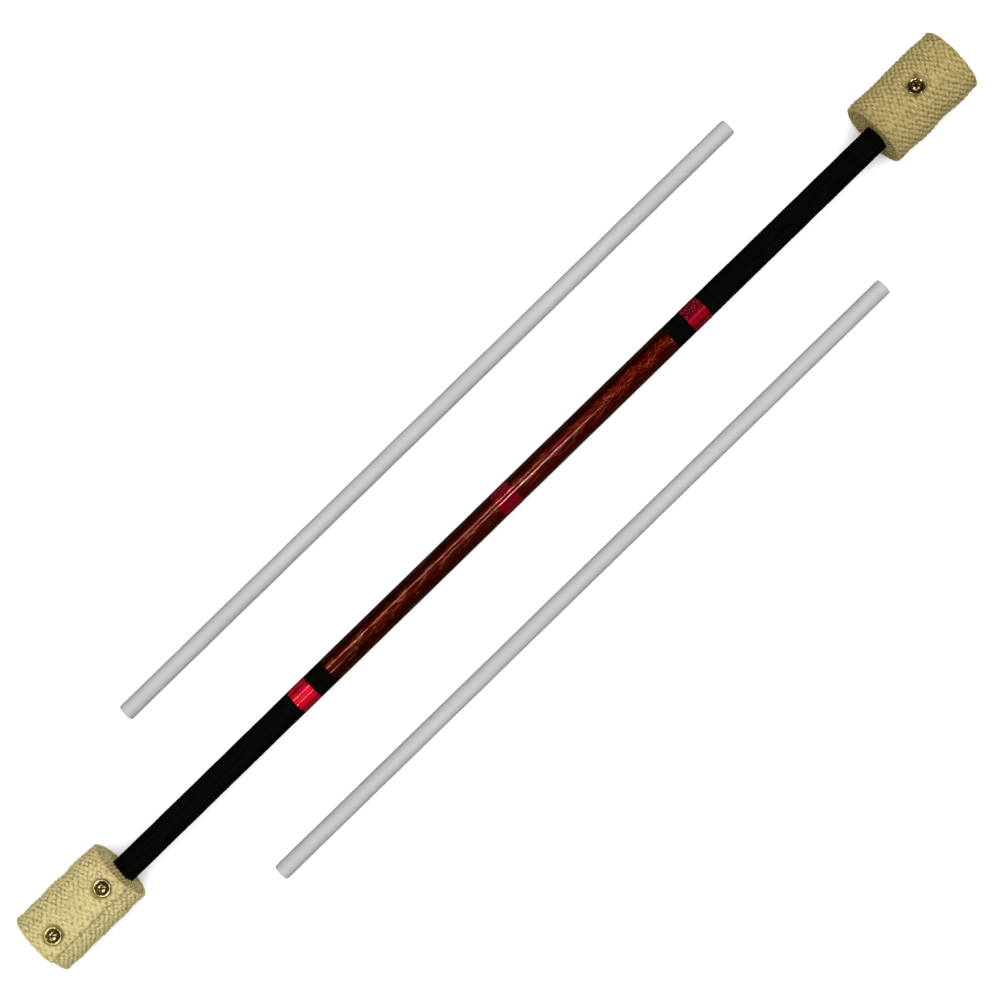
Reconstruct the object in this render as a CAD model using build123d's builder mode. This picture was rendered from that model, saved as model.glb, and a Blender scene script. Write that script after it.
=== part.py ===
from build123d import *
from math import cos, radians, sin
import os

# A flame juggling baton with its two hand sticks, laid out side by side on a flat surface.
# Millimetres. +X runs along the baton, +Y across the row of sticks, +Z up.
# The origin is on the surface, below the middle of the baton.

# ---- driving dimensions: baton ----
baton_length = 743.5
wick_width = 65.0
tube_diameter = 15.0
tube_wall = 1.0
tube_end_recess = 2.0
plug_length = 66.0
plug_chamfer = 1.0

# ---- driving dimensions: coverings of the tube ----
grip_wall = 0.5
edge_ring_wall = 0.55
edge_ring_width = 13.5
band_width = 13.4
band_film = 0.1
foil_wall = 0.45
foil_half_length = 139.0
centre_band_offset = 5.3
clear_sleeve_wall = 0.1

# ---- driving dimensions: wicks ----
wick_seam_radius = 22.0
wick_seam_step = 1.6
wick_seam_angle = -30.0
wick_offset_across = 1.85
wick_offset_up = -0.4
wick_outline_steps = 24
axis_height = 21.47

# ---- driving dimensions: wick screws ----
screw_seat_radius = 19.2
screw_flange_diameter = 10.5
screw_flange_height = 0.8
screw_dome_diameter = 6.8
screw_shoulder_share = 0.3
screw_shoulder_rise = 0.87
screw_head_height = 2.2
screw_length = 25.0
screw_tip_length = 4.0
thread_diameter = 4.2
thread_root_diameter = 3.1
thread_pitch = 1.9
thread_crest_share = 0.75
recess_length = 4.0
recess_width = 0.9
recess_depth = 1.7
recess_taper = 12.0
recess_turn = 45.0
seat_clearance = 0.1
outer_screw_inset = 13.8
middle_screw_inset = 31.4
inner_screw_inset = 53.2
seam_side_angle = 4.6
opposite_side_angle = 164.1

# ---- driving dimensions: hand sticks ----
hand_stick_length = 498.0
hand_stick_diameter = 10.4
hand_stick_rod_diameter = 8.0
hand_stick_rod_recess = 1.5
hand_stick_spacing = 66.0
hand_stick_shift = 4.2

# ---- worked out from them ----
half_length = baton_length / 2
wick_start = half_length - wick_width
tube_radius = tube_diameter / 2
plug_radius = tube_radius - tube_wall
tube_half_length = half_length - tube_end_recess
grip_radius = tube_radius + grip_wall
foil_radius = tube_radius + foil_wall
clear_sleeve_inner = foil_radius + band_film
clear_sleeve_radius = clear_sleeve_inner + clear_sleeve_wall
edge_ring_end = foil_half_length + edge_ring_width


def plane_across(x, y=0, z=axis_height):
    """The plane square to a stick's length at x, with its own x along +Y and its own y up."""
    return Plane(origin=(x, y, z), x_dir=(0, 1, 0), z_dir=(1, 0, 0))


def sleeve(start, length, outer, inner, y=0, z=axis_height):
    """A round tube along +X."""
    with BuildPart() as ring:
        with BuildSketch(plane_across(start, y, z)):
            Circle(outer)
            if inner > 0:
                Circle(inner, mode=Mode.SUBTRACT)
        extrude(amount=length)
    return ring


def save(piece, name):
    """Labels a finished piece and writes its file."""
    piece.part.label = name
    export_step(piece.part, "parts/" + name + ".step")


def mirrored_start(side, near, length):
    """Where a ring starts along X, when it spans near to near + length on the given side."""
    return near if side > 0 else -near - length


# ---- wicks and their screws ----
def winding_point(turned):
    """A point of the winding's outside, turned degrees round from the seam's high edge."""
    radius = wick_seam_radius - wick_seam_step * turned / 360
    angle = radians(wick_seam_angle + turned)
    return (radius * sin(angle) + wick_offset_across, radius * cos(angle) + wick_offset_up)


def screw_plane(side, inset, angle):
    """The plane under a screw's head: its normal points out of the wick along the screw.

    The right wick is the left one turned half a turn about +Y, so its seam faces down.
    """
    turned = radians(angle)
    outward = Vector(0, sin(turned), -side * cos(turned))
    seat = Vector(side * (half_length - inset), 0, axis_height) + outward * screw_seat_radius
    return Plane(origin=seat, x_dir=(1, 0, 0), z_dir=outward)


screw_places = {
    "outer": (outer_screw_inset, seam_side_angle),
    "middle": (middle_screw_inset, opposite_side_angle),
    "inner": (inner_screw_inset, seam_side_angle),
}


def screw_planes(side):
    """The seats of one end's three screws, where its pieces are bored."""
    return [screw_plane(side, inset, angle) for inset, angle in screw_places.values()]


def wick(side):
    """A strip of woven tape wound round the tube's end, taken as one solid with its seam step."""
    facing = 1 if side < 0 else -1
    count = wick_outline_steps
    outline = [winding_point(360 * step / count) for step in range(count + 1)]
    outline = [(across, facing * up) for across, up in outline]
    with BuildPart() as winding:
        with BuildSketch(plane_across(mirrored_start(side, wick_start, wick_width))):
            with BuildLine():
                Spline(outline)
                Line(outline[-1], outline[0])
            make_face()
            Circle(tube_radius, mode=Mode.SUBTRACT)
        extrude(amount=wick_width)
        with BuildSketch(*screw_planes(side)):
            Circle(screw_flange_diameter / 2 + seat_clearance)
        extrude(amount=screw_head_height + wick_seam_step, mode=Mode.SUBTRACT)
        with BuildSketch(*screw_planes(side)):
            Circle(thread_diameter / 2)
        extrude(amount=-screw_length, mode=Mode.SUBTRACT)
    return winding


def screw(side, inset, angle):
    """A flanged, domed screw with a cross recess and a ringed wood thread."""
    under_head = screw_plane(side, inset, angle)
    profile_plane = Plane(origin=under_head.origin, x_dir=under_head.x_dir, z_dir=-under_head.y_dir)
    shank_end = screw_tip_length - screw_length
    rings = int((screw_length - screw_tip_length) / thread_pitch)
    thread = []
    for ring in range(rings):
        top = -ring * thread_pitch
        thread.append((thread_root_diameter / 2, top))
        thread.append((thread_root_diameter / 2, top - thread_pitch / 2))
        thread.append((thread_diameter / 2, top - thread_pitch * thread_crest_share))
    thread.append((thread_root_diameter / 2, shank_end))
    dome_top = (0, screw_head_height)
    dome_shoulder = (screw_dome_diameter * screw_shoulder_share, screw_head_height * screw_shoulder_rise)
    dome_foot = (screw_dome_diameter / 2, screw_flange_height)
    rim_top = (screw_flange_diameter / 2, screw_flange_height / 2)
    rim_bottom = (screw_flange_diameter / 2, 0)
    tip = (0, -screw_length)
    with BuildPart() as fastener:
        with BuildSketch(profile_plane):
            with BuildLine():
                ThreePointArc(dome_top, dome_shoulder, dome_foot)
                Polyline(dome_foot, rim_top, rim_bottom, *thread, tip, dome_top)
            make_face()
        revolve(axis=Axis(under_head.origin, under_head.z_dir))
        for turn in (0, 90):
            with BuildSketch(under_head.offset(screw_head_height)):
                Rectangle(recess_length, recess_width, rotation=turn + recess_turn)
            extrude(amount=-recess_depth, taper=recess_taper, mode=Mode.SUBTRACT)
    return fastener


os.makedirs("parts", exist_ok=True)

# ---- core tube: thin-walled, bored where the wick screws pass ----
with BuildPart() as core_tube:
    with BuildSketch(plane_across(-tube_half_length)):
        Circle(tube_radius)
        Circle(plug_radius, mode=Mode.SUBTRACT)
    extrude(amount=2 * tube_half_length)
    with BuildSketch(*screw_planes(-1), *screw_planes(1)):
        Circle(thread_diameter / 2)
    extrude(amount=-screw_length, mode=Mode.SUBTRACT)
save(core_tube, "core_tube")

# ---- decorated middle: foil wrap, its pink band, and the clear sleeve over both ----
copper_foil_wrap = sleeve(-foil_half_length, 2 * foil_half_length, foil_radius, tube_radius)
save(copper_foil_wrap, "copper_foil_wrap")
centre_band_start = centre_band_offset - band_width / 2
centre_pink_foil_band = sleeve(centre_band_start, band_width, clear_sleeve_inner, foil_radius)
save(centre_pink_foil_band, "centre_pink_foil_band")
clear_sleeve = sleeve(-foil_half_length, 2 * foil_half_length, clear_sleeve_radius, clear_sleeve_inner)
save(clear_sleeve, "clear_protective_sleeve")

# ---- each end, from the middle outwards ----
for side, end_name in ((-1, "left"), (1, "right")):
    ring_start = mirrored_start(side, foil_half_length, edge_ring_width)
    edge_ring = sleeve(ring_start, edge_ring_width, tube_radius + edge_ring_wall, tube_radius)
    save(edge_ring, end_name + "_black_edge_ring")

    grip_length = wick_start - edge_ring_end
    grip_start = mirrored_start(side, edge_ring_end, grip_length)
    grip = sleeve(grip_start, grip_length, grip_radius, tube_radius)
    save(grip, end_name + "_grip_sleeve")

    band_start = mirrored_start(side, edge_ring_end, band_width)
    band = sleeve(band_start, band_width, grip_radius + band_film, grip_radius)
    save(band, end_name + "_pink_foil_band")

    plug_start = mirrored_start(side, tube_half_length - plug_length, plug_length)
    with BuildPart() as end_plug:
        with BuildSketch(plane_across(plug_start)):
            Circle(plug_radius)
        extrude(amount=plug_length)
        chamfer(end_plug.edges().filter_by(GeomType.CIRCLE), plug_chamfer)
        with BuildSketch(*screw_planes(side)):
            Circle(thread_diameter / 2)
        extrude(amount=-screw_length, mode=Mode.SUBTRACT)
    save(end_plug, end_name + "_end_plug")

    save(wick(side), end_name + "_wick")
    for place, (inset, angle) in screw_places.items():
        save(screw(side, inset, angle), end_name + "_wick_" + place + "_screw")

# ---- hand sticks: a stiff rod in a soft sleeve, one each side of the baton ----
for side, stick_name in ((-1, "near"), (1, "far")):
    stick_y = side * hand_stick_spacing
    stick_z = hand_stick_diameter / 2
    stick_start = hand_stick_shift - hand_stick_length / 2
    rod_radius = hand_stick_rod_diameter / 2
    rod_start = stick_start + hand_stick_rod_recess
    rod_length = hand_stick_length - 2 * hand_stick_rod_recess
    rod = sleeve(rod_start, rod_length, rod_radius, 0, stick_y, stick_z)
    save(rod, stick_name + "_hand_stick_rod")
    cover = sleeve(stick_start, hand_stick_length, hand_stick_diameter / 2, rod_radius, stick_y, stick_z)
    save(cover, stick_name + "_hand_stick_sleeve")
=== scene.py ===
import math

import bmesh
import bpy
import numpy as np
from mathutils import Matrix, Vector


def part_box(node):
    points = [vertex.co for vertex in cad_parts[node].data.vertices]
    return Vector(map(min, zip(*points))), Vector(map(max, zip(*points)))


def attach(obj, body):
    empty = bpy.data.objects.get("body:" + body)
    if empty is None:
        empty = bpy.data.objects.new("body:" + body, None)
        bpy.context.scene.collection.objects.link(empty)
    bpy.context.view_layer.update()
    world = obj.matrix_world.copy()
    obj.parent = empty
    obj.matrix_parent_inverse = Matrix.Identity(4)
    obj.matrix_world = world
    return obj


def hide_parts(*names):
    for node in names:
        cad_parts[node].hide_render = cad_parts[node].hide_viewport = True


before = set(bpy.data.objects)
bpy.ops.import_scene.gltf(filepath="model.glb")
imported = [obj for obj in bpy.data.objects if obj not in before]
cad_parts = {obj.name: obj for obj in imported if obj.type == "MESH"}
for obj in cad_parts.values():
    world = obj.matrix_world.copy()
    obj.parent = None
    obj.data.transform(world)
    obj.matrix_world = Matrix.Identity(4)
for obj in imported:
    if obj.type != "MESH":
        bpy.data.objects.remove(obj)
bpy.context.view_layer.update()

# A flame juggling baton and its two hand sticks, seen from straight above.
# Metres, in the CAD's frame: +X along the baton, +Y across the row, +Z up.
MM = 0.001

# ---- places, from the frame ----
tube_low, tube_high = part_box("core_tube")
AXIS_Z = (tube_low.z + tube_high.z) / 2
TUBE_RADIUS = (tube_high.z - tube_low.z) / 2

# ---- the winding of a wick: angles in degrees, turned back along the tape from its free edge ----
TAPE_THICKNESS = 2.9 * MM
TAPE_LAPS = 4.96
FIRST_LAP = 386.0  # where the outer lap's yarns end, just under that lap
SEAM_RADIUS = 22.0 * MM
SEAM_STEP = 1.6 * MM
SEAM_ANGLE = -30.0
SEAM_EASE = 45.0  # over this turn the next lap comes down off the seam's step
SEAM_SHADOW = 356.0  # from here on a yarn lies under the free edge, in its painted shadow
OFFSET_ACROSS = 1.85 * MM
OFFSET_UP = -0.4 * MM
OUTER_RADIUS = 21.2 * MM
CORE_CLEARANCE = 0.6 * MM
END_INSET = 0.7 * MM  # from the wick's end to its first yarn's edge
OUTER_CORNER = 2.0 * MM
OUTER_CORNER_DROP = 1.1 * MM
INNER_CORNER = 4.2 * MM
INNER_CORNER_DROP = 2.0 * MM
CORNER_FULLNESS = 0.98
SWELL = 0.36 * MM
SECOND_HALF_SLIP = 1.0 * MM
FREE_EDGE_SLIP = 0.7 * MM
SIDE_SLIP = 1.2 * MM
OUTER_WOBBLE = 0.16 * MM
INNER_WOBBLE = 0.2 * MM

# ---- its yarns, the weft's turns round their edge yarns, and the weft between them ----
YARNS = 40
FLOAT_PERIOD = 5.2 * MM
FLOAT_DRIFT = 0.8
YARN_STEP = 0.65 * MM
YARN_HALF_WIDTH = 0.86 * MM
YARN_HALF_HEIGHT = 0.7 * MM
YARN_DIP = 0.4 * MM
YARN_LEAN = 0.04 * MM
YARN_WANDER = 0.12 * MM
FLOAT_FATTER = 0.15
UNEVEN = 0.07
PLY_DEPTH = 0.07
PLY_LAY = 10.0 * MM
FIBRE_SLANT = 0.55
YARN_RING = np.radians([-20, 15, 45, 72, 108, 135, 165, 200, 270])  # sparse on the hidden underside
BROWNED_WIDTH = 9.0 * MM
BROWNED_MOST = 0.5
BROWNED_LEAST = 0.05
LOOP_REACH = 0.55 * MM
LOOP_HALF_THICKNESS = 0.62 * MM
LOOP_DEPTH = 1.3 * MM
LOOP_BROWNED = 0.22
# painted shade on the inner side of the weft's turns
LOOP_PAINTED_SHADE = 0.2
WEFT_INSET = 1.2 * MM
WEFT_STEP = 2.2 * MM
WEFT_TOP = -0.92 * MM
WEFT_BOTTOM = -2.75 * MM

# ---- the wick screws: a head's rim and seat from the tube's axis, and how the tape sinks round it ----
SCREW_PLACES = ("outer", "middle", "inner")
RIM_REACH = 19.6 * MM
RIM_RADIUS = 5.25 * MM
SCREW_SEAT = 19.2 * MM
SINK_BELOW_SEAT = 0.6 * MM
SINK_INNER = 5.75 * MM
SINK_OUTER = 7.2 * MM


def smooth(x):
    """An S-shaped ramp from 0 to 1."""
    x = np.clip(x, 0, 1)
    return x * x * (3 - 2 * x)


def waves(seed, count, lengths, *places):
    """A smooth pattern, about -1 to 1, made of seeded sine waves over one or two coordinates."""
    draw = np.random.default_rng(seed)
    total = 0
    for _ in range(count):
        phase = draw.uniform(0, 2 * math.pi)
        for place, length in zip(places, lengths):
            phase = phase + 2 * math.pi * place / (length * draw.uniform(0.6, 1.6)) * draw.choice([-1, 1])
        total = total + np.sin(phase)
    return total / math.sqrt(count)


# ---- materials ----
NOISE_ROUGHNESS = 0.55
FILM_IOR = 1.47


class Finish:
    """A material being made: its node tree and the Principled shader that it ends in."""

    def __init__(self, name, **values):
        self.material = bpy.data.materials.new(name)
        self.material.use_nodes = True
        self.tree = self.material.node_tree
        self.shader = self.tree.nodes["Principled BSDF"]
        for socket, value in values.items():
            self.shader.inputs[socket.replace("_", " ")].default_value = value

    def node(self, kind, inputs=None, **settings):
        """A new shader node; inputs are its sockets' values or links, settings its other properties."""
        made = self.tree.nodes.new(kind)
        for name, value in settings.items():
            setattr(made, name, value)
        for name, value in (inputs or {}).items():
            self.put(made.inputs[name], value)
        return made

    def put(self, socket, value):
        """Links an output to a socket, or sets the socket's value."""
        if isinstance(value, bpy.types.NodeSocket):
            self.tree.links.new(value, socket)
        else:
            socket.default_value = value

    def shade(self, socket, value):
        self.put(self.shader.inputs[socket], value)

    def place(self):
        """Where a point is on its piece, in metres."""
        return self.node("ShaderNodeTexCoord").outputs["Object"]

    def stored(self, name, output="Fac"):
        """A value that the mesh holds at each point."""
        return self.node("ShaderNodeAttribute", attribute_name=name).outputs[output]

    def stretched(self, vector, scale):
        """The vector with each of its parts scaled."""
        product = self.node("ShaderNodeVectorMath", {0: vector, 1: scale}, operation="MULTIPLY")
        return product.outputs["Vector"]

    def noise(self, vector, scale=1.0, detail=3.0, distortion=0.0):
        """A cloudy pattern, 0 to 1."""
        inputs = {"Vector": vector, "Scale": scale, "Detail": detail, "Distortion": distortion}
        return self.node("ShaderNodeTexNoise", {**inputs, "Roughness": NOISE_ROUGHNESS}).outputs["Fac"]

    def ramp(self, factor, *stops):
        """A colour or grey that changes with factor: stops are (place, colour)."""
        made = self.node("ShaderNodeValToRGB", {"Fac": factor})
        points = made.color_ramp.elements
        while len(points) < len(stops):
            points.new(0.5)
        for point, (place, colour) in zip(points, stops):
            point.position = place
            point.color = (*colour, 1) if isinstance(colour, tuple) else (colour, colour, colour, 1)
        return made.outputs["Color"]

    def mix(self, factor, first, second):
        """A colour between first, at factor 0, and second, at factor 1."""
        made = self.node("ShaderNodeMix", data_type="RGBA", blend_type="MIX")
        self.put(made.inputs[0], factor)
        self.put(made.inputs[6], first)
        self.put(made.inputs[7], second)
        return made.outputs[2]

    def span(self, value, low, high, to_low=0.0, to_high=1.0):
        """value mapped from low..high to to_low..to_high, and held there."""
        numbers = {"Value": value, "From Min": low, "From Max": high, "To Min": to_low, "To Max": to_high}
        return self.node("ShaderNodeMapRange", numbers).outputs["Result"]

    def combine(self, operation, *values):
        """A number worked out from others."""
        return self.node("ShaderNodeMath", dict(enumerate(values)), operation=operation).outputs[0]

    def gloss_over(self, under, roughness, normal=None):
        """A thin mirror-like layer over another shader, stronger at glancing angles, on outer faces only."""
        gloss = self.node("ShaderNodeBsdfAnisotropic", {"Roughness": roughness}, distribution="BECKMANN")
        gloss.inputs["Color"].default_value = (1, 1, 1, 1)
        if normal is not None:
            self.put(gloss.inputs["Normal"], normal)
        edge = self.node("ShaderNodeFresnel", {"IOR": FILM_IOR}).outputs[0]
        behind = self.node("ShaderNodeNewGeometry").outputs["Backfacing"]
        share = self.combine("MULTIPLY", edge, self.combine("SUBTRACT", 1.0, behind))
        mixed = self.node("ShaderNodeMixShader", {0: share, 1: under, 2: gloss.outputs[0]})
        self.put(self.tree.nodes["Material Output"].inputs["Surface"], mixed.outputs[0])

    def bump(self, height, distance, strength=1.0, normal=None):
        """Relief of that height in metres."""
        made = self.node("ShaderNodeBump", {"Height": height, "Distance": distance, "Strength": strength})
        if normal is not None:
            self.put(made.inputs["Normal"], normal)
        return made.outputs["Normal"]


def colour(red, green, blue):
    return (red, green, blue, 1.0)


def yarn_finish(name, pale, green, tan, brown, dark):
    """Spun aramid yarn: straw-coloured fibres along the twist, browner towards the wick's inner end, and
    darkened towards dark by the painted shade that the mesh stores.
    """
    f = Finish(name, Roughness=0.85, Sheen_Weight=0.08, Sheen_Roughness=0.5, Specular_IOR_Level=0.2)
    f.shader.inputs["Sheen Tint"].default_value = colour(1.0, 0.9, 0.6)
    along = f.stored("yarn", "Vector")
    fibres = f.noise(f.stretched(along, (260, 7000, 40)), detail=4)
    strands = f.noise(f.stretched(along, (120, 2300, 40)), detail=2)
    patches = f.noise(f.place(), 170, 3)
    tints = f.noise(f.place(), 620, 2)
    flecks = f.noise(f.place(), 1100, 2)
    base = f.mix(f.span(patches, 0.38, 0.62), pale, green)
    base = f.mix(f.span(tints, 0.5, 0.68, 0, 0.9), base, tan)
    base = f.mix(f.span(flecks, 0.52, 0.68, 0, 0.75), base, brown)
    base = f.mix(f.stored("browned"), base, brown)
    base = f.mix(f.span(fibres, 0.35, 0.75, 0, 0.3), base, pale)
    # painted shade: dips, undersides, ply grooves, the seam's shadow and the dimples round the screws
    # darkened towards dark
    base = f.mix(f.stored("pit"), base, dark)
    f.shade("Base Color", base)
    coarse = f.bump(strands, 0.22 * MM, 0.9)
    f.shade("Normal", f.bump(fibres, 0.10 * MM, 0.8, coarse))
    return f.material


def weft_finish():
    """The tape's body between its warp yarns: the weft, ribbed across the strip, coloured darker than the
    yarns and darker between its ribs as painted shade.
    """
    f = Finish("weft_aramid", Roughness=0.95, Specular_IOR_Level=0.15)
    along = f.stored("yarn", "Vector")
    ribs = f.noise(f.stretched(along, (900, 120, 1)), detail=3)
    f.shade("Base Color", f.ramp(ribs, (0.3, (0.16, 0.11, 0.045)), (0.7, (0.34, 0.26, 0.11))))
    f.shade("Normal", f.bump(ribs, 0.4 * MM))
    return f.material


def screw_finish():
    """Yellow zinc plate, bright and thin in places, darkened by grime and painted shade in its groove and
    cross, on its dome's steep sides and at its rim's foot.
    """
    f = Finish("yellow_zinc", Specular_IOR_Level=0.3)
    stains = f.noise(f.place(), 300, 3)
    blotches = f.noise(f.place(), 1100, 2)
    plate = f.ramp(stains, (0.35, (0.55, 0.42, 0.12)), (0.5, (0.80, 0.70, 0.26)),
                   (0.68, (0.88, 0.80, 0.42)))
    plate = f.mix(f.span(blotches, 0.55, 0.75, 0, 0.55), plate, colour(0.30, 0.15, 0.06))
    # grime and painted shade: near black where the mesh stores it
    f.shade("Base Color", f.mix(f.stored("grime"), plate, colour(0.012, 0.008, 0.005)))
    f.shade("Metallic", f.span(blotches, 0.35, 0.7, 0.99, 0.93))
    f.shade("Roughness", f.span(stains, 0.3, 0.7, 0.24, 0.15))
    f.shade("Normal", f.bump(f.noise(f.place(), 2600, 3), 0.004 * MM))
    return f.material


def grip_finish(name, grain):
    """Matt black rubber or tape: fine grain, faint scuffs that barely lift the black."""
    f = Finish(name, Specular_IOR_Level=0.05)
    scuffs = f.noise(f.stretched(f.place(), (60, 900, 900)), detail=5)
    speckle = f.noise(f.place(), grain, 2)
    base = f.ramp(scuffs, (0.35, (0.0004, 0.0004, 0.0003)), (0.72, (0.0015, 0.0015, 0.0010)))
    f.shade("Base Color", base)
    f.shade("Roughness", f.span(scuffs, 0.3, 0.7, 0.95, 0.82))
    f.shade("Normal", f.bump(speckle, 0.06 * MM, 0.6))
    return f.material


def crease_lines(f, names, wide):
    """Where a stored distance, in millimetres, says a crease is near: highest on its line, 0 beyond wide."""
    total = 0.0
    for name in names:
        near = f.span(f.combine("ABSOLUTE", f.stored(name)), wide / 4, wide, 0.85, 0)
        lit = f.combine("MULTIPLY", near, f.stored(name + "_strength"))
        total = f.combine("MAXIMUM", total, lit)
    return total


def copper_finish():
    """Crinkled copper-coloured film: a dark red-brown with fine, wandering creases painted paler and warmer
    as highlights.
    """
    f = Finish("copper_film", Specular_IOR_Level=0.0)
    f.shader.inputs["Specular Tint"].default_value = colour(1.0, 0.3, 0.2)
    crease = crease_lines(f, ("crease", "fold"), 0.1)
    clouds = f.noise(f.stretched(f.place(), (40, 200, 200)), detail=4)
    streaks = f.noise(f.stretched(f.place(), (110, 1500, 1500)), detail=4, distortion=0.8)
    base = f.ramp(clouds, (0.34, (0.048, 0.003, 0.001)), (0.52, (0.088, 0.005, 0.0015)),
                  (0.7, (0.12, 0.008, 0.002)))
    base = f.mix(f.span(streaks, 0.5, 0.7, 0, 0.5), base, colour(0.22, 0.018, 0.005))
    base = f.mix(f.span(f.stored("warmth"), 0, 1, 0.2, 0.0), base, colour(0.26, 0.008, 0.004))
    # painted shade where the mesh stores shaded
    base = f.mix(f.stored("shaded"), base, colour(0.025, 0.002, 0.001))
    # painted highlight along the crinkles, warmer in the left half
    crease_highlight = f.mix(f.stored("warmth"), colour(0.9, 0.17, 0.06), colour(0.9, 0.33, 0.12))
    f.shade("Base Color", f.mix(crease, base, crease_highlight))
    f.shade("Metallic", f.span(crease, 0, 1, 0.84, 0.55))
    f.shade("Roughness", f.span(streaks, 0.3, 0.7, 0.44, 0.32))
    fine = f.noise(f.stretched(f.place(), (420, 2600, 2600)), detail=3)
    f.shade("Normal", f.bump(fine, 0.06 * MM, 0.6, f.bump(streaks, 0.10 * MM, 0.8)))
    return f.material


def pink_finish():
    """Pink metallised film, finely drawn lengthwise under a gloss coat, with dark smudges and crinkles
    painted brighter as highlights.
    """
    f = Finish("pink_film", Metallic=0.45, Specular_IOR_Level=0.0)
    crease = crease_lines(f, ("crease",), 0.2)
    drawn = f.noise(f.stretched(f.place(), (10, 800, 800)), detail=4)
    tints = f.noise(f.stretched(f.place(), (160, 320, 320)), detail=3)
    smudges = f.noise(f.stretched(f.place(), (330, 620, 620)), detail=4, distortion=0.7)
    base = f.ramp(drawn, (0.43, (0.10, 0.001, 0.008)), (0.5, (0.40, 0.001, 0.010)),
                  (0.57, (0.74, 0.004, 0.014)))
    base = f.mix(f.span(tints, 0.5, 0.72, 0, 0.5), base, colour(0.36, 0.002, 0.06))
    base = f.mix(f.span(smudges, 0.6, 0.72, 0, 0.8), base, colour(0.05, 0.002, 0.025))
    # painted shade where the mesh stores shaded
    base = f.mix(f.stored("shaded"), base, colour(0.010, 0.0003, 0.0025))
    # painted highlight along the crinkles
    f.shade("Base Color", f.mix(crease, base, colour(0.9, 0.04, 0.08)))
    f.shade("Roughness", f.span(drawn, 0.3, 0.7, 0.4, 0.26))
    f.shade("Normal", f.bump(drawn, 0.12 * MM, 0.9))
    f.gloss_over(f.shader.outputs[0], f.span(drawn, 0.3, 0.7, 0.15, 0.1))
    return f.material


def clear_finish():
    """Clear glossy film: see-through, with a mirror-like outer face and nothing else."""
    f = Finish("clear_film")
    f.tree.nodes.remove(f.shader)
    through = f.node("ShaderNodeBsdfTransparent", {"Color": colour(0.97, 0.965, 0.95)})
    scratches = f.noise(f.stretched(f.place(), (40, 2400, 2400)), detail=3)
    roughness = f.span(scratches, 0.35, 0.75, 0.13, 0.17)
    f.gloss_over(through.outputs[0], roughness, f.bump(scratches, 0.0001 * MM))
    return f.material


def silicone_finish():
    """Light grey silicone: soft and matt, with handling marks and a faint drawn grain."""
    f = Finish("grey_silicone", Subsurface_Weight=0.06, Specular_IOR_Level=0.3)
    f.shader.inputs["Subsurface Radius"].default_value = (1.2 * MM, 1.2 * MM, 1.2 * MM)
    marks = f.noise(f.stretched(f.place(), (14, 120, 120)), detail=5)
    grain = f.noise(f.stretched(f.place(), (160, 3600, 3600)), detail=3)
    f.shade("Base Color", f.ramp(marks, (0.3, (0.325, 0.325, 0.33)), (0.7, (0.355, 0.355, 0.355))))
    f.shade("Roughness", f.span(marks, 0.3, 0.7, 0.62, 0.5))
    f.shade("Normal", f.bump(grain, 0.03 * MM))
    return f.material


def wood_finish():
    """End grain and sides of a turned beech plug."""
    f = Finish("turned_beech", Roughness=0.65, Specular_IOR_Level=0.3)
    rings = f.noise(f.stretched(f.place(), (30, 700, 700)), detail=4, distortion=1.2)
    pores = f.noise(f.stretched(f.place(), (120, 6000, 6000)), detail=2)
    base = f.ramp(rings, (0.35, (0.42, 0.25, 0.12)), (0.65, (0.66, 0.47, 0.27)))
    f.shade("Base Color", f.mix(f.span(pores, 0.58, 0.7, 0, 0.6), base, colour(0.22, 0.13, 0.06)))
    f.shade("Normal", f.bump(pores, 0.12 * MM, 0.6))
    return f.material


def tube_finish():
    """Drawn aluminium, dulled, with fine lines along its length."""
    f = Finish("drawn_aluminium", Metallic=1.0)
    lines = f.noise(f.stretched(f.place(), (30, 5000, 5000)), detail=4)
    smudges = f.noise(f.place(), 260, 3)
    f.shade("Base Color", f.ramp(smudges, (0.35, (0.52, 0.52, 0.53)), (0.7, (0.74, 0.74, 0.75))))
    f.shade("Roughness", f.span(lines, 0.3, 0.7, 0.3, 0.5))
    f.shade("Normal", f.bump(lines, 0.03 * MM))
    return f.material


def rod_finish():
    """Pultruded glass fibre: milky resin over fine lengthwise strands."""
    f = Finish("glass_fibre", Roughness=0.45)
    strands = f.noise(f.stretched(f.place(), (25, 4200, 4200)), detail=4)
    f.shade("Base Color", f.ramp(strands, (0.3, (0.52, 0.53, 0.44)), (0.7, (0.76, 0.77, 0.68))))
    f.shade("Normal", f.bump(strands, 0.06 * MM))
    return f.material


def floor_finish():
    """A plain pale studio floor."""
    f = Finish("pale_floor", Roughness=0.9, Specular_IOR_Level=0.1)
    clouds = f.noise(f.place(), 6, 2)
    f.shade("Base Color", f.ramp(clouds, (0.3, (0.95, 0.95, 0.95)), (0.7, (0.97, 0.97, 0.97))))
    return f.material


# ---- meshes ----
def tube_faces(rows, ring):
    """Faces of a closed tube: rows of ring points, its two ends capped."""
    row = np.arange(rows - 1)[:, None] * ring
    point = np.arange(ring)[None, :]
    after = (point + 1) % ring
    quads = np.stack([row + point, row + after, row + ring + after, row + ring + point], -1)
    start = list(reversed(range(ring)))
    end = [(rows - 1) * ring + k for k in range(ring)]
    return quads.reshape(-1, 4).tolist() + [start, end]


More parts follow.
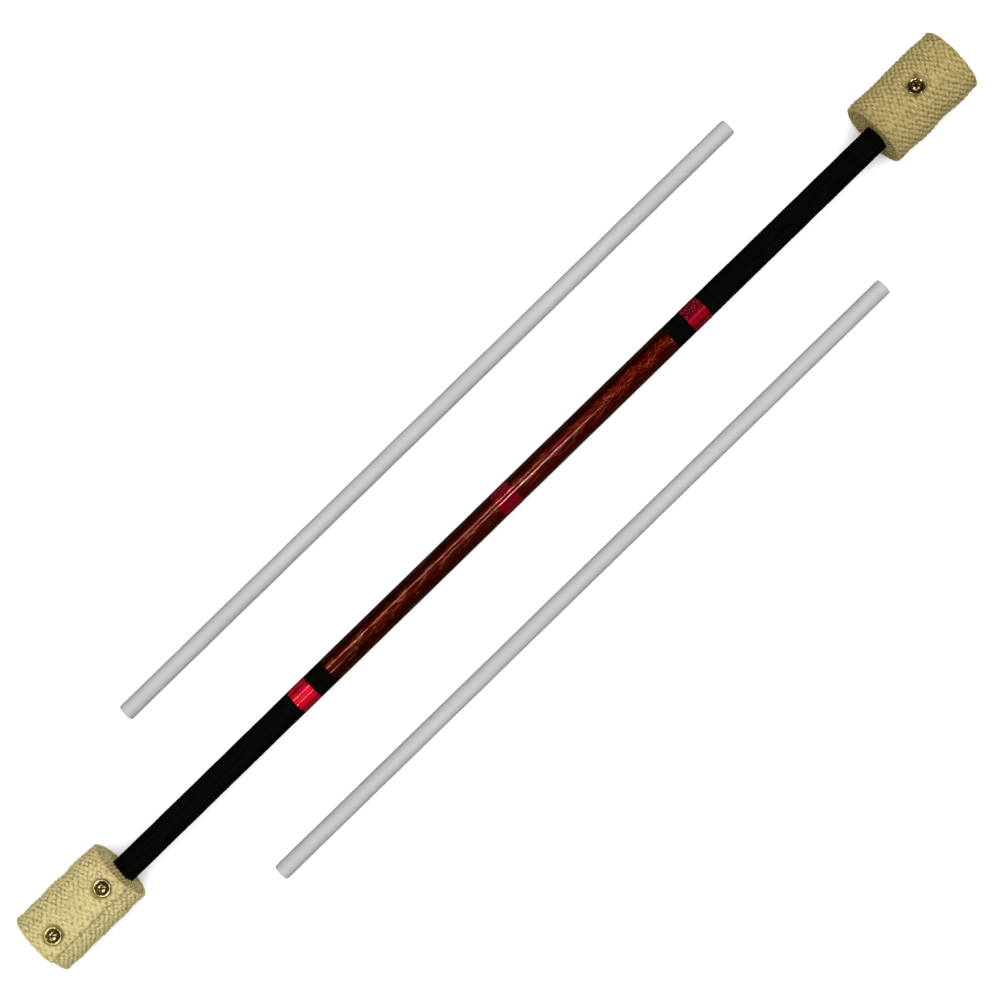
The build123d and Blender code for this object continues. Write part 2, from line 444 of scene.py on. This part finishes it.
class Shape:
    """Points, faces and stored values of one piece, gathered part by part."""

    def __init__(self):
        self.points, self.faces, self.values, self.count = [], [], {}, 0

    def add(self, points, faces, **values):
        """points are rows of x, y, z; faces count from 0; values hold a number or vector at each point."""
        points = np.asarray(points, float).reshape(-1, 3)
        self.faces += [[self.count + k for k in face] for face in faces]
        self.points.append(points)
        for name, value in values.items():
            self.values.setdefault(name, []).append(np.asarray(value, float).reshape(len(points), -1))
        self.count += len(points)

    def piece(self, name, material, body, slot, stands_for=()):
        """Makes the Blender object, riding on its body."""
        mesh = bpy.data.meshes.new(name)
        mesh.from_pydata(np.concatenate(self.points).tolist(), [], self.faces)
        for key, parts in self.values.items():
            value = np.concatenate(parts).astype(np.float32)
            kind = "FLOAT" if value.shape[1] == 1 else "FLOAT_VECTOR"
            stored = mesh.attributes.new(key, kind, "POINT")
            stored.data.foreach_set("value" if kind == "FLOAT" else "vector", value.ravel())
        solid = bmesh.new()
        solid.from_mesh(mesh)
        bmesh.ops.recalc_face_normals(solid, faces=solid.faces)
        solid.to_mesh(mesh)
        solid.free()
        mesh.shade_smooth()
        mesh.materials.append(material)
        made = bpy.data.objects.new(name, mesh)
        bpy.context.scene.collection.objects.link(made)
        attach(made, body)
        if stands_for:
            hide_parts(*stands_for)


# ---- wicks ----
def corner_drop(inset, reach, drop):
    """How far a rounded corner has dropped at a place inset from it."""
    near = 1 - np.clip(inset / reach, 0, 1)
    return drop * (1 - np.sqrt(1 - CORNER_FULLNESS * near**2))


def screw_axis(node):
    """A CAD screw's place along X, and the y and z of its unit direction from the tube's axis outwards."""
    low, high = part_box(node)
    lean = math.asin(high.y / math.hypot(RIM_REACH, RIM_RADIUS)) - math.atan2(RIM_RADIUS, RIM_REACH)
    upward = high.z - AXIS_Z > AXIS_Z - low.z
    return (low.x + high.x) / 2, math.sin(lean), math.cos(lean) * (1 if upward else -1)


class Wick:
    """One end's wound tape, worked out as for the left end; the right end is that, turned about +Y.

    shift is how much later each yarn floats than the one before it, shade is how much painted shade darkens
    its dips, and swelling is how much thicker the winding is than the CAD's. The slips say how far the
    tape's outer edge, and its inner edge at the tube and at the outside, lie off a true wind.
    """

    def __init__(self, name, seed, shift, shade, swelling, outer_slip, core_slip, rim_slip):
        self.name, self.seed, self.swelling = name, seed, swelling
        self.shift, self.shade = shift, shade
        self.outer_slip, self.core_slip, self.rim_slip = outer_slip, core_slip, rim_slip
        self.side = -1 if name == "left" else 1
        low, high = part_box(name + "_wick")
        self.width = high.x - low.x
        self.end_x = max(abs(low.x), abs(high.x))
        self.pitch = (self.width - 2 * END_INSET) / YARNS
        self.screws = [self.screw_place(place) for place in SCREW_PLACES]

    def screw_place(self, place):
        """A screw's inset from the wick's end, its direction as on the left end, and the tape's sinking."""
        x, across, up = screw_axis(f"{self.name}_wick_{place}_screw")
        up = up * -self.side
        direction = math.atan2(OUTER_RADIUS * across - OFFSET_ACROSS, OUTER_RADIUS * up - OFFSET_UP)
        surface = self.outside((math.degrees(direction) - SEAM_ANGLE) % 360)
        surface = surface + self.swelling + OFFSET_ACROSS * across + OFFSET_UP * up
        return self.end_x - abs(x), direction, surface - SCREW_SEAT + SINK_BELOW_SEAT

    def outside(self, turned):
        """The outside radius of the winding, turned degrees back along the tape from its free end."""
        lap = np.floor(turned / 360)
        part = turned - 360 * lap
        lifted = (TAPE_THICKNESS - SEAM_STEP) * (1 - smooth(part / SEAM_EASE))
        return SEAM_RADIUS - SEAM_STEP * part / 360 - lap * TAPE_THICKNESS + np.where(lap > 0, lifted, 0)

    def thin(self, turned):
        """The tape's thickness there as a share: it is pressed thin at its free end and on the tube."""
        below = np.maximum(self.outside(turned + 360), TUBE_RADIUS + CORE_CLEARANCE)
        return (self.outside(turned) - below) / TAPE_THICKNESS

    def dimple(self, angle, across):
        """How far the tape is pressed in there by the screw heads."""
        pressed = 0
        for inset, direction, depth in self.screws:
            around = (angle - direction + math.pi) % (2 * math.pi) - math.pi
            away = np.hypot(across - inset, OUTER_RADIUS * around)
            risen = smooth((away - SINK_INNER) / (SINK_OUTER - SINK_INNER))
            pressed = np.maximum(pressed, depth * (1 - risen))
        return pressed

    def slip(self, turned, angle, share):
        """How far the outer and inner edges lie off a true wind; share is 0 at the tube, 1 outside."""
        outer = self.outer_slip + SECOND_HALF_SLIP * smooth((turned - 170) / 180)
        outer = outer + FREE_EDGE_SLIP * (1 - smooth(turned / 14)) - SIDE_SLIP * np.sin(angle) ** 2
        outer = outer + OUTER_WOBBLE * waves(self.seed + 1, 4, (260,), turned)
        inner = self.core_slip + (self.rim_slip - self.core_slip) * share
        inner = inner + INNER_WOBBLE * waves(self.seed + 2, 4, (230,), turned)
        return outer, inner

    def wrap(self, turned, across, height):
        """Places points of the flat tape, in metres across it and above its outer face, on the tube."""
        angle = np.radians(SEAM_ANGLE + turned)
        radius = self.outside(turned) + height
        share = np.clip((radius - TUBE_RADIUS) / (OUTER_RADIUS - TUBE_RADIUS), 0, 1.1)
        drop = corner_drop(across - END_INSET / 2, OUTER_CORNER, OUTER_CORNER_DROP)
        drop = drop + corner_drop(self.width - END_INSET / 2 - across, INNER_CORNER, INNER_CORNER_DROP)
        radius = radius - drop * share**2
        swell = waves(self.seed, 5, (24 * MM, 160), across, turned % 360)
        radius = radius + (self.swelling + SWELL * swell) * share
        radius = radius - self.dimple(angle, across) * share**1.5
        outer_slip, inner_slip = self.slip(turned, angle, share)
        from_outer = across / self.width
        across = across + outer_slip * (1 - from_outer) + inner_slip * from_outer
        y = radius * np.sin(angle) + OFFSET_ACROSS * share
        z = radius * np.cos(angle) + OFFSET_UP * share
        x = self.end_x - across
        return np.stack([self.side * x, y, AXIS_Z - self.side * z], -1)

    def along(self, start, end, step):
        """Angles and lengths along the tape, evenly spaced by about step."""
        turned = np.linspace(start, end, 4000)
        radius = self.outside(turned) - TAPE_THICKNESS / 2
        pieces = np.radians(np.diff(turned)) * (radius[1:] + radius[:-1]) / 2
        length = np.concatenate([[0], np.cumsum(pieces)])
        wanted = np.linspace(0, length[-1], int(length[-1] / step))
        return np.interp(wanted, length, turned), wanted

    def yarn(self, shape, index, start, end, step, before):
        """One warp yarn: it rises over the weft and dips under it, twisted from two plies.

        before is the yarn's length up to start. Each point holds how deep it lies in shadow, stored as
        painted shade.
        """
        turned, length = self.along(start, end, step)
        length = length + before
        swing = 2 * math.pi * length / FLOAT_PERIOD + self.shift * index
        swing = swing + FLOAT_DRIFT * waves(self.seed + 40, 3, (22 * MM,), length)
        swing = swing + FLOAT_DRIFT * waves(self.seed + 60 + index, 3, (13 * MM,), length)
        rise = np.cos(swing)
        thin = self.thin(turned)
        centre = END_INSET + (index + 0.5) * self.pitch - YARN_LEAN * np.sin(swing)
        centre = centre + YARN_WANDER * waves(self.seed + 110 + index, 3, (15 * MM,), length)
        height = (-YARN_HALF_HEIGHT - YARN_DIP + YARN_DIP * rise) * thin
        fat = 1 + FLOAT_FATTER * rise + UNEVEN * waves(self.seed + 160 + index, 3, (7 * MM,), length)
        ring = YARN_RING[None, :]
        lay = np.cos(2 * ring - 4 * math.pi * length[:, None] / PLY_LAY + 2.4 * index**2)
        size = fat[:, None] * (1 + PLY_DEPTH * lay)
        across = centre[:, None] + YARN_HALF_WIDTH * size * np.cos(ring)
        above = height[:, None] + YARN_HALF_HEIGHT * thin[:, None] * size * np.sin(ring)
        points = self.wrap(turned[:, None] + 0 * ring, across, above)
        around = YARN_HALF_WIDTH * ring - FIBRE_SLANT * length[:, None]
        yarn = np.stack([length[:, None] + 0 * ring, around, index * 0.37 + 0 * across], -1)
        low = np.clip(-np.sin(ring), 0, 1) + 0 * across
        dip = smooth((0.1 - rise[:, None]) / 1.1)
        uneven = 0.75 + 0.5 * waves(self.seed + 210 + index, 4, (6 * MM,), length)[:, None]
        # painted shade: darker in the dips under the weft, along the ply grooves and on the hidden underside
        pit = self.shade * dip * uneven + 0.14 * smooth(-lay) * (1 - low) + 0.65 * low
        # painted shadow under the seam's free edge, and painted shade in the dimples round the screw heads
        under_seam = smooth((turned[:, None] - SEAM_SHADOW) / 3)
        pressed = self.dimple(np.radians(SEAM_ANGLE + turned)[:, None], across)
        pit = np.clip(pit + 0.6 * under_seam + 0.24 * pressed / MM, 0, 0.9)
        browned = BROWNED_MOST * (1 - smooth((self.width - across) / BROWNED_WIDTH)) + BROWNED_LEAST
        shape.add(points, tube_faces(*across.shape), yarn=yarn, pit=pit, browned=browned)

    def loops(self, shape, edge):
        """The weft's turns round the outermost yarn, along one edge of the tape."""
        turned, length = self.along(1.0, 360 * TAPE_LAPS - 4, FLOAT_PERIOD / 2)
        bend = np.linspace(-0.6 * math.pi, 0.6 * math.pi, 7)[:, None]
        ring = np.radians(np.arange(0, 360, 60))[None, :]
        outward = -1 if edge == "outer" else 1
        inset = END_INSET + self.pitch / 2
        middle = inset if edge == "outer" else self.width - inset
        thick = LOOP_HALF_THICKNESS * (1 + 0.12 * np.cos(2 * ring + 3 * bend))
        for here, run, thin in zip(turned, length, self.thin(turned)):
            reach = LOOP_REACH + thick * np.cos(ring)
            across = middle + outward * reach * np.cos(bend)
            above = (-LOOP_DEPTH + 1.5 * reach * np.sin(bend)) * thin
            slip = np.degrees((1.15 * thick * np.sin(ring) + 0.5 * MM * np.sin(bend)) / OUTER_RADIUS)
            points = self.wrap(here + slip, across, above)
            around = ring * thick + 2 * bend * MM
            yarn = np.stack([bend * MM + 0 * ring, around, 0 * across + run], -1)
            browned = np.full(across.shape, LOOP_BROWNED)
            # painted shade on the side of each turn that faces in under the yarn
            pit = LOOP_PAINTED_SHADE * smooth(-np.cos(ring) * 0.8) + 0 * across
            shape.add(points, tube_faces(*across.shape), yarn=yarn, pit=pit, browned=browned)

    def body(self, shape):
        """The tape's woven body under its warp floats, one closed strip from the free end inwards."""
        turned, length = self.along(3.0, 360 * TAPE_LAPS - 6, WEFT_STEP)
        across = np.linspace(WEFT_INSET, self.width - WEFT_INSET, 25)
        thin = self.thin(turned)[:, None]
        across = np.concatenate([across, across[::-1]])[None, :] + 0 * thin
        upper = np.arange(across.shape[1])[None, :] < across.shape[1] / 2
        height = np.where(upper, WEFT_TOP, WEFT_BOTTOM) * thin
        points = self.wrap(turned[:, None] + 0 * across, across, height)
        yarn = np.stack([length[:, None] + 0 * across, across, 0 * across], -1)
        shape.add(points, tube_faces(*across.shape), yarn=yarn, pit=0 * across, browned=0 * across)

    def build(self, yarn_material, weft_material):
        """Three objects: the outer lap's yarns, the edges of the laps below, and the weft of them all."""
        cover, selvedge, core = Shape(), Shape(), Shape()
        last = 360 * TAPE_LAPS - 2
        draw = np.random.default_rng(self.seed)
        lap_length = self.along(0.0, FIRST_LAP, YARN_STEP)[1][-1]
        for index in range(YARNS):
            self.yarn(cover, index, draw.uniform(0.1, 1.9), FIRST_LAP, YARN_STEP, 0.0)
        cover.piece(self.name + "_wick_tape", yarn_material, "baton", "wick_fabric", [self.name + "_wick"])
        for index in (0, YARNS - 1):
            self.yarn(selvedge, index, FIRST_LAP - 3, last, YARN_STEP * 1.3, lap_length)
        self.loops(selvedge, "outer")
        self.loops(selvedge, "inner")
        selvedge.piece(self.name + "_wick_selvedges", yarn_material, "baton", "wick_fabric")
        self.body(core)
        core.piece(self.name + "_wick_weft", weft_material, "baton", "wick_fabric")


# ---- screws: radii from a screw's own axis, heights from its flange's underside ----
FLANGE_PROFILE = [  # (radius, height) in millimetres, from its underside over its rim into the groove
    (4.6, 0.0), (5.1, 0.02), (5.22, 0.12), (5.24, 0.28), (5.17, 0.42), (5.02, 0.53), (4.84, 0.59),
    (4.64, 0.6), (4.44, 0.55), (4.22, 0.44), (3.95, 0.36), (3.7, 0.36), (3.52, 0.44), (3.43, 0.58),
    (3.38, 0.76),
]
FLANGE_HOLE = 1.0 * MM
RIM_EDGE = 5.08 * MM
GROOVE_RADIUS = 3.75 * MM
GROOVE_HALF_WIDTH = 0.42 * MM
DOME_RADIUS = 3.36 * MM
DOME_SHOULDER = 1.9 * MM
DOME_FOOT = 0.9 * MM
DOME_RISE = 1.3 * MM
DOME_STEPS = 44
RECESS_HALF_WIDTH = 0.44 * MM
RECESS_HALF_LENGTH = 1.95 * MM
RECESS_DEPTH = 1.25 * MM
RECESS_EDGE = 0.16 * MM
SHANK_LENGTH = 25.0 * MM
SHANK_TIP = 4.0 * MM
TIP_RADIUS = 0.12 * MM
THREAD_ROOT = 1.5 * MM
THREAD_CREST = 2.08 * MM
THREAD_PITCH = 1.9 * MM


def cross_recess(u, v):
    """How deep the driver's cross is at a point of the head, as a share of its depth."""
    arms = 0
    for along, aside in ((u, v), (v, u)):
        inside = smooth((RECESS_HALF_WIDTH - np.abs(aside)) / RECESS_EDGE + 0.5)
        within = smooth((RECESS_HALF_LENGTH - np.abs(along)) / (4 * RECESS_EDGE) + 0.5)
        arms = np.maximum(arms, inside * within)
    return arms


def screw_head(ring):
    """The flange and the domed, crossed top, from the underside up: turns, heights, radii, and grime with
    painted shade.
    """
    turn = np.arange(ring) / ring * 2 * math.pi
    flange = np.array(FLANGE_PROFILE) * MM
    bend = np.linspace(0.02, 1, DOME_STEPS) * math.pi / 2
    dome = [DOME_RADIUS * np.cos(bend) + 0.02 * MM, DOME_FOOT + DOME_RISE * np.sin(bend)]
    profile = np.concatenate([[[FLANGE_HOLE, 0]], flange, np.stack(dome, -1)])
    radius = profile[:, :1] + 0 * turn
    height = profile[:, 1:] + 0 * turn
    depth = cross_recess(radius * np.cos(turn - math.pi / 4), radius * np.sin(turn - math.pi / 4))
    depth = np.where(height > DOME_FOOT, depth, 0)
    # grime with painted shade in the groove and cross, painted shade on the dome's steep sides, and a
    # painted contact shadow round the rim's foot
    groove = np.exp(-((radius - GROOVE_RADIUS) / GROOVE_HALF_WIDTH) ** 4)
    steep = smooth((radius - DOME_SHOULDER) / (1.0 * MM)) * (radius < 3.6 * MM)
    rim = smooth((radius - RIM_EDGE) / (0.12 * MM)) + smooth(1 - height / (0.25 * MM))
    grime = np.clip(0.95 * np.maximum(groove, depth) + 0.65 * steep + rim, 0, 0.95)
    return turn, height - RECESS_DEPTH * depth, radius, grime


def screw_shank(ring):
    """The shank with its helical wood thread, from its tip up: turns, heights, radii, and painted shade
    between the thread's crests.
    """
    turn = np.arange(ring) / ring * 2 * math.pi
    height = np.linspace(-SHANK_LENGTH, 0.05 * MM, 220)[:, None] + 0 * turn
    taper = smooth((height + SHANK_LENGTH) / SHANK_TIP)
    phase = (height / THREAD_PITCH + turn / (2 * math.pi)) % 1
    crest = np.clip(1 - np.abs(phase - 0.5) / 0.22, 0, 1)
    radius = TIP_RADIUS + taper * (THREAD_ROOT - TIP_RADIUS + (THREAD_CREST - THREAD_ROOT) * crest)
    return turn, height, radius, 0.5 - 0.4 * crest


def build_screws():
    """A finer screw in the place of each CAD one: rounded flange, domed and crossed top, cut thread."""
    look = screw_finish()
    for end in ("left", "right"):
        for place in SCREW_PLACES:
            node = f"{end}_wick_{place}_screw"
            x, across, up = screw_axis(node)
            shape = Shape()
            for turn, height, radius, grime in (screw_head(96), screw_shank(24)):
                reach, aside = SCREW_SEAT + height, radius * np.sin(turn)
                y, z = reach * across - aside * up, reach * up + aside * across
                points = np.stack([x + radius * np.cos(turn), y, AXIS_Z + z], -1)
                shape.add(points, tube_faces(*radius.shape), grime=grime)
            shape.piece(f"{end}_{place}_screw", look, "baton", "plated_screw", [node])


# ---- coverings of the tube, and the hand sticks ----
GRIP_TUCK = 1.6 * MM  # how far a grip runs in under its wick


def turned_piece(name, profile, y, z, material, body, slot, stands_for, relief=None, around=96):
    """A piece turned about a line along +X. profile is a closed list of (x, radius), walked once round.

    relief(x, around) gives a rise and stored values, where around is the way round from the top, in metres.
    """
    profile = np.asarray(profile, float)
    angle = (np.arange(around) / around * 2 - 1) * math.pi
    x = profile[:, 0][:, None] + 0 * angle
    radius = profile[:, 1][:, None] + 0 * angle
    values = {}
    if relief is not None:
        rise, values = relief(x, angle[None, :] * profile[:, 1].max() + 0 * x)
        radius = radius + rise
    points = np.stack([x, y + radius * np.sin(angle), z + radius * np.cos(angle)], -1)
    rows = len(profile)
    row = np.arange(rows)[:, None]
    after = (row + 1) % rows
    here = np.arange(around)[None, :]
    beside = (here + 1) % around
    corners = [row * around + here, row * around + beside, after * around + beside, after * around + here]
    faces = np.stack(np.broadcast_arrays(*corners), -1).reshape(-1, 4).tolist()
    shape = Shape()
    shape.add(points, faces, **values)
    shape.piece(name, material, body, slot, stands_for)


def ring_profile(start, end, inner, outer, step, lip):
    """A tube's section from start to end: rounded outer lips, and rings beside them and every step along."""
    turns = np.radians([0, 22, 45, 68, 90])
    first = [(start + lip - lip * math.cos(t), outer - lip + lip * math.sin(t)) for t in turns]
    last = [(end - lip + lip * math.cos(t), outer - lip + lip * math.sin(t)) for t in reversed(turns)]
    middle = np.linspace(start + lip, end - lip, max(int((end - start) / step), 2))[1:-1]
    rings = [start + 3 * lip, *middle, end - 3 * lip]
    return [(start, inner)] + first + [(x, outer) for x in rings] + last + [(end, inner)]


def node_ring(node):
    """A round CAD node's start, end, outer radius and centre line."""
    low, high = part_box(node)
    return low.x, high.x, (high.z - low.z) / 2, (low.y + high.y) / 2, (low.z + high.z) / 2


def sleeve_piece(node, name, material, body, slot, wall, step, lip, relief=None, around=96, tuck=(0, 0)):
    """A better-made piece in the place of a plain round CAD node.

    wall is its thickness, step the spacing of its rings, lip the rounding of its ends, around the number of
    points in a ring, and tuck how much longer than the node it is at its start and end.
    """
    start, end, outer, y, z = node_ring(node)
    start, end = start - tuck[0], end + tuck[1]
    profile = ring_profile(start, end, outer - wall, outer, step, lip)
    turned_piece(name, profile, y, z, material, body, slot, [node], relief, around)


def soft_relief(seed, height, length):
    """A slow unevenness, as on drawn rubber, over about that length."""
    def relief(x, around):
        return height * waves(seed, 5, (length, 20 * MM), x, around), {}
    return relief


def line_distance(seed, x, around, lengths, wander):
    """The distance, in millimetres, to wandering lines: those where a smooth pattern passes through zero."""
    wandering = around + wander * waves(seed + 1, 6, (4 * MM, 5 * MM), x, around)
    field = waves(seed, 6, lengths, x, wandering)
    up = np.gradient(field, axis=0) / np.maximum(np.abs(np.gradient(x, axis=0)), 0.05 * MM)
    side = np.gradient(field, axis=1) / np.maximum(np.abs(np.gradient(around, axis=1)), 0.05 * MM)
    return np.clip(field / np.maximum(np.hypot(up, side), 1.0) / MM, -2, 2)


def copper_relief(seed):
    """Creased film: fine raised lines that wander along the stick, in broken patches, over soft folds.

    It has painted shade in two bands, along its top and its far side, and is warmer in its left half.
    """
    def relief(x, around):
        crease = line_distance(seed, x, around, (45 * MM, 5.5 * MM), 0.5 * MM)
        fold = line_distance(seed + 20, x, around, (30 * MM, 4.5 * MM), 0.6 * MM)
        warmth = smooth((20 * MM - x) / (60 * MM)) + 0 * around
        facing = smooth((6.5 * MM - np.abs(around)) / (3 * MM))
        often = 0.5 - 0.6 * warmth
        crease_strength = smooth(often + 0.9 * waves(seed + 40, 5, (22 * MM, 9 * MM), x, around)) * facing
        seldom = often - 0.1
        fold_strength = smooth(seldom + 0.9 * waves(seed + 50, 5, (15 * MM, 8 * MM), x, around)) * facing
        ridges = np.exp(-(crease / 0.3) ** 2) * crease_strength + np.exp(-(fold / 0.3) ** 2) * fold_strength
        folds = waves(seed + 60, 6, (30 * MM, 5 * MM), x, around)
        # painted shade: a band on the far side and one along the top
        shaded = 0.8 * smooth(1.6 - np.abs(around - 5.5 * MM) / (1.6 * MM)) * (1 - 0.4 * warmth)
        shaded = shaded + 0.55 * smooth(2 - around / (0.8 * MM)) * smooth(2.7 + around / (1.5 * MM))
        values = {"shaded": shaded, "warmth": warmth, "crease": crease, "crease_strength": crease_strength}
        values.update({"fold": fold, "fold_strength": fold_strength})
        return 0.003 * MM * ridges + 0.015 * MM * folds, values
    return relief


def pink_relief(seed, painted_shade_amount):
    """Drawn film: fine ridges along the stick, crinkled on its far side, with painted shade there in patches
    and, on the bands further right, over the rest of the band as well.
    """
    def relief(x, around):
        ridges = waves(seed, 7, (60 * MM, 1.6 * MM), x, around)
        crease = line_distance(seed + 20, x, around, (7 * MM, 4 * MM), 0.5 * MM)
        far = smooth(2 - np.abs(around - 5.5 * MM) / (3 * MM))
        strength = 0.75 * np.clip(far, 0.1, 1)
        patches = smooth(1.0 + 0.5 * waves(seed + 30, 6, (6 * MM, 3 * MM), x, around))
        # painted shade, in patches on the far side and over the whole of the bands further right
        shaded = painted_shade_amount * far * patches + 1.5 * (painted_shade_amount - 0.6) * (1 - far)
        rise = 0.002 * MM * ridges + 0.008 * MM * np.exp(-(crease / 0.3) ** 2) * strength
        return rise, {"crease": crease, "crease_strength": strength, "shaded": np.clip(shaded, 0, 1)}
    return relief


def build_coverings():
    """The foils, the film over them, the black edge rings and the grips."""
    grip = grip_finish("black_grip_rubber", 2600)
    tape = grip_finish("black_cloth_tape", 4200)
    copper, pink, clear = copper_finish(), pink_finish(), clear_finish()
    sleeve_piece("copper_foil_wrap", "copper_foil", copper, "baton", "copper_foil",
                 wall=0.4 * MM, step=0.45 * MM, lip=0.1 * MM, relief=copper_relief(11), around=144)
    sleeve_piece("centre_pink_foil_band", "centre_pink_band", pink, "baton", "pink_foil",
                 wall=0.08 * MM, step=0.3 * MM, lip=0.03 * MM, relief=pink_relief(23, 0.88), around=144)
    sleeve_piece("clear_protective_sleeve", "clear_sleeve", clear, "baton", "clear_film",
                 wall=0.08 * MM, step=6 * MM, lip=0.03 * MM, around=160,
                 relief=soft_relief(31, 0.004 * MM, 60 * MM))
    # the pink bands' painted shade grows towards the right: 0.5 left, 0.88 centre, 1.0 right
    for end, seed, painted_shade_amount in (("left", 41, 0.5), ("right", 57, 1.0)):
        tuck = (GRIP_TUCK, 0) if end == "left" else (0, GRIP_TUCK)
        sleeve_piece(end + "_grip_sleeve", end + "_grip", grip, "baton", "black_grip",
                     wall=0.45 * MM, step=2.5 * MM, lip=0.2 * MM, tuck=tuck,
                     relief=soft_relief(seed, 0.04 * MM, 30 * MM))
        sleeve_piece(end + "_black_edge_ring", end + "_edge_ring", tape, "baton", "black_tape",
                     wall=0.5 * MM, step=1 * MM, lip=0.12 * MM,
                     relief=soft_relief(seed + 1, 0.03 * MM, 9 * MM))
        sleeve_piece(end + "_pink_foil_band", end + "_pink_band", pink, "baton", "pink_foil",
                     wall=0.09 * MM, step=0.3 * MM, lip=0.03 * MM, around=144,
                     relief=pink_relief(seed + 2, painted_shade_amount))


def build_hand_sticks():
    """The hand sticks' soft sleeves."""
    silicone = silicone_finish()
    for stick, seed in (("near", 71), ("far", 83)):
        sleeve_piece(stick + "_hand_stick_sleeve", stick + "_stick_cover", silicone,
                     stick + "_hand_stick", "grey_silicone", wall=1.15 * MM, step=4 * MM, lip=0.35 * MM,
                     relief=soft_relief(seed, 0.035 * MM, 45 * MM), around=72)


def finish_cad_nodes():
    """The CAD pieces that stay: the tube, the plugs and the rods."""
    looks = {
        "core_tube": tube_finish(),
        "end_plug": wood_finish(),
        "hand_stick_rod": rod_finish(),
    }
    for name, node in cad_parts.items():
        for ending, look in looks.items():
            if name.endswith(ending):
                node.data.materials.clear()
                node.data.materials.append(look)


# ---- stage ----
FLOOR_SIZE = 20
WORLD_STRENGTH = 0.34
LAMP_HEIGHT = 1.6


def area_light(name, x, lean, size, brightness, tint=(1, 1, 1), diffuse=True, glossy=True):
    """A lamp at x, lean degrees from overhead and facing the baton; size is along X and across it."""
    lamp = bpy.data.lights.new(name, "AREA")
    lamp.shape = "RECTANGLE"
    lamp.size, lamp.size_y = size
    lamp.energy = brightness * math.pi * size[0] * size[1]
    lamp.color = tint
    made = bpy.data.objects.new(name, lamp)
    made.location = (x, LAMP_HEIGHT * math.tan(math.radians(lean)), AXIS_Z + LAMP_HEIGHT)
    made.rotation_euler = (-math.radians(lean), 0, 0)
    made.visible_diffuse, made.visible_glossy = diffuse, glossy
    bpy.context.scene.collection.objects.link(made)


def strip_light(name, lean, reach, brightness, tint=(1, 1, 1), width=0.05):
    """A lamp along X from reach's start to its end, seen only as a bright line on glossy surfaces."""
    start, end = reach
    area_light(name, (start + end) / 2, lean, (end - start, width), brightness, tint, diffuse=False)


def build_stage():
    """The floor, the room's even light, the key lamp, and the strips that draw the foils' highlights."""
    bpy.ops.mesh.primitive_plane_add(size=FLOOR_SIZE)
    floor = bpy.context.object
    floor.name = "studio_floor"
    floor.data.materials.append(floor_finish())
    floor.visible_glossy = floor.visible_diffuse = False
    world = bpy.data.worlds.new("studio")
    world.use_nodes = True
    background = world.node_tree.nodes["Background"].inputs
    background["Color"].default_value = colour(1, 1, 1)
    background["Strength"].default_value = WORLD_STRENGTH
    world.cycles_visibility.glossy = False
    bpy.context.scene.world = world
    area_light("key_softbox", x=0.15, lean=1.5, size=(2.5, 1.6), brightness=4.5, glossy=False)
    strip_light("upper_strip", 27.5, (-0.55, 0.075), brightness=58, tint=(0.95, 0.55, 0.42), width=0.035)
    strip_light("lower_strip", -21.2, (-0.55, -0.345), brightness=60, tint=(1.0, 0.85, 0.85), width=0.04)
    strip_light("overhead_strip", -2.6, (-0.075, 0.165), brightness=18, tint=(1.0, 0.7, 0.6))
    strip_light("overhead_glint", -2.6, (0.02, 0.11), brightness=70)
    strip_light("left_upper_glow", 25.0, (-1.0, -0.55), brightness=6, width=0.4)
    strip_light("left_lower_glow", -22.0, (-1.0, -0.55), brightness=6, width=0.4)
    strip_light("right_glow", -12.0, (0.42, 0.70), brightness=7, width=0.5)
    strip_light("left_glow", -2.0, (-1.0, -0.45), brightness=2.0, width=1.0)


# ---- camera: straight above, turned so that the baton rises to the right ----
CAMERA_PLACE = (0.0020, 0.0018)
CAMERA_HEIGHT = 1.287
CAMERA_TURN = -44.24
CAMERA_LENS = 79.2


def build_camera():
    """The camera, and plain colours in place of a film-like curve."""
    bpy.context.scene.view_settings.view_transform = "Standard"
    eye = bpy.data.cameras.new("camera")
    eye.lens = CAMERA_LENS
    made = bpy.data.objects.new("camera", eye)
    made.location = (*CAMERA_PLACE, AXIS_Z + CAMERA_HEIGHT)
    made.rotation_euler = (0, 0, math.radians(CAMERA_TURN))
    bpy.context.scene.collection.objects.link(made)
    bpy.context.scene.camera = made


build_camera()
build_stage()
weft = weft_finish()
left_yarn = yarn_finish(
    "aramid_yarn_left", pale=colour(0.525, 0.465, 0.215), green=colour(0.45, 0.432, 0.185),
    tan=colour(0.50, 0.385, 0.185), brown=colour(0.45, 0.30, 0.13), dark=colour(0.17, 0.125, 0.047))
# The right wick's yarn is darker than the left's, about 30 % and its browns and darks about half, and its
# dips are darker: part of this is painted shade, as the light falls off to the right.
right_yarn = yarn_finish(
    "aramid_yarn_right", pale=colour(0.385, 0.31, 0.12), green=colour(0.325, 0.29, 0.105),
    tan=colour(0.36, 0.25, 0.10), brown=colour(0.22, 0.143, 0.054), dark=colour(0.08, 0.053, 0.019))
left_wick = Wick("left", seed=3, shift=3.6, shade=0.4, swelling=0.1 * MM,
                 outer_slip=0.95 * MM, core_slip=0.5 * MM, rim_slip=-0.7 * MM)
right_wick = Wick("right", seed=7, shift=2.9, shade=0.7, swelling=0.4 * MM,
                  outer_slip=0.7 * MM, core_slip=-0.25 * MM, rim_slip=0.4 * MM)
left_wick.build(left_yarn, weft)
right_wick.build(right_yarn, weft)
build_screws()
build_coverings()
build_hand_sticks()
finish_cad_nodes()
